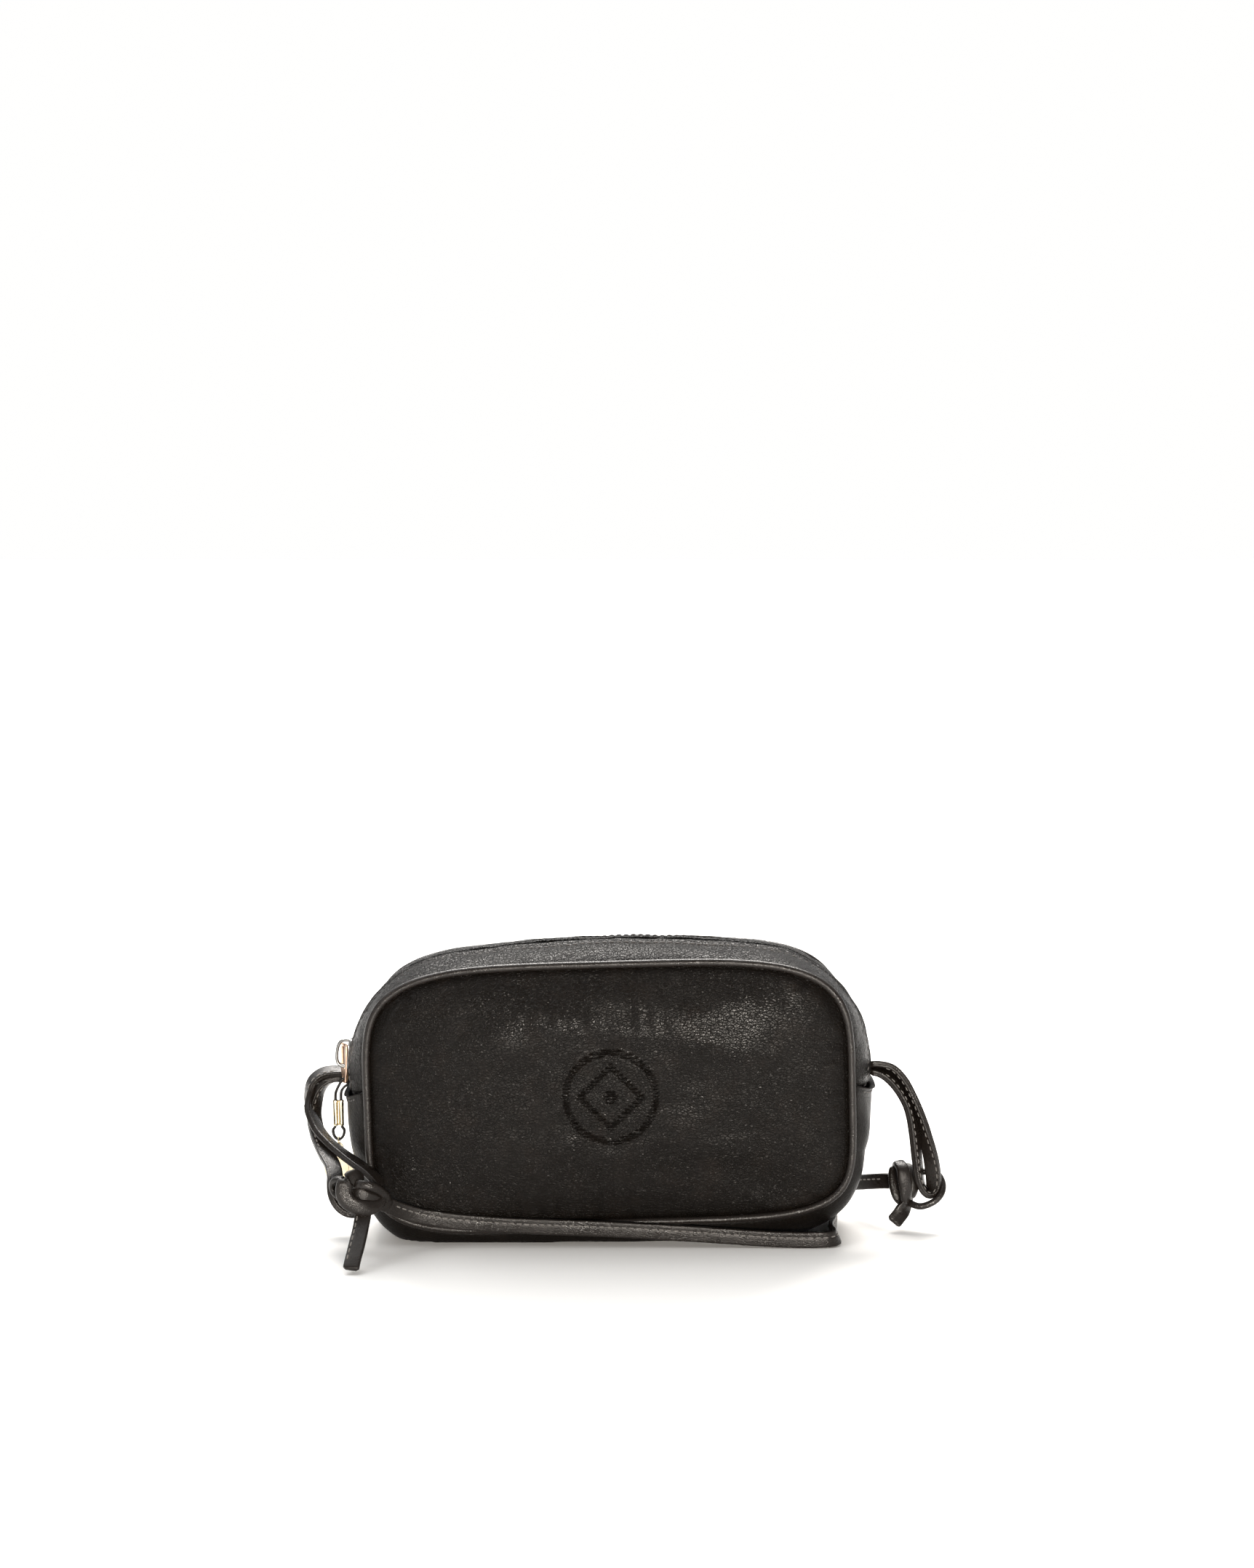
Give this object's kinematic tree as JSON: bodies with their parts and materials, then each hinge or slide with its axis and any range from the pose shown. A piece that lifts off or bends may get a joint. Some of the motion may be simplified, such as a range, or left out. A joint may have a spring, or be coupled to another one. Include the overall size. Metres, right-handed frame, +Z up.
{
  "type": "makeup bag",
  "caption": "Small padded leather makeup bag with piped panels, a zip over the top and down both sides, a puller with a charm, and a thin strap knotted to side loops.",
  "frame": {"origin": "middle of the flat bottom, on the surface it stands on", "axes": "+X along the bag to its right, the front face looks along -Y, +Z up"},
  "size_m": [0.269, 0.1333, 0.1253],
  "materials": {
    "leather": "soft black grained leather with a broad satin sheen",
    "piping_leather": "smooth black leather piping, slightly glossier, brown where it rubs",
    "strap_leather": "folded black leather strip, stitched, brown at its edges",
    "lining": "dark woven lining",
    "padding": "thin foam",
    "board": "stiffening board",
    "zip_tape": "black woven zip tape",
    "zip_brass": "satin brass teeth",
    "slider_steel": "dark grey plated slider",
    "puller_metal": "polished rose-gold plate",
    "pale_gold": "polished pale gold plate"
  },
  "bodies": {
    "root": {"front_panel": "leather", "back_panel": "leather", "zip_gusset_front": "leather", "zip_gusset_back": "leather", "base_gusset": "leather", "front_piping": "piping_leather", "back_piping": "piping_leather", "left_side_loop": "strap_leather", "right_side_loop": "strap_leather", "strap": "strap_leather", "left_knot": "strap_leather", "right_knot": "strap_leather", "left_tail": "strap_leather", "right_tail": "strap_leather", "front_lining": "lining", "back_lining": "lining", "gusset_lining_front": "lining", "gusset_lining_back": "lining", "base_lining": "lining", "inner_pocket": "lining", "front_padding": "padding", "back_padding": "padding", "base_board": "board", "zip_tape_front": "zip_tape", "zip_tape_back": "zip_tape", "zip_teeth_front": "zip_brass", "zip_teeth_back": "zip_brass", "zip_stop_left": "zip_brass", "zip_stop_right": "zip_brass"},
    "slider": {"slider_body": "slider_steel", "slider_bridge": "slider_steel"},
    "puller": {"puller_plate": "puller_metal", "pull_cord": "strap_leather", "pull_ferrule": "pale_gold"},
    "charm": {"charm_ring": "pale_gold", "charm": "pale_gold"}
  },
  "joints": [
    {"name": "zip_travel", "type": "hinge", "parent": "root", "child": "slider", "pos_m": [-0.06018, 0, 0.06927], "axis": [0, 1, 0], "range_deg": [0, 70], "deforming": ["left_side_loop"]},
    {"name": "puller_tilt", "type": "hinge", "parent": "slider", "child": "puller", "pos_m": [-0.11243, 0, 0.07906], "axis": [0, 1, 0], "range_deg": [0, 115]},
    {"name": "charm_swing", "type": "hinge", "parent": "puller", "child": "charm", "pos_m": [-0.1153, 0, 0.0382], "axis": [1, 0, 0], "range_deg": [-60, 60]}
  ]
}
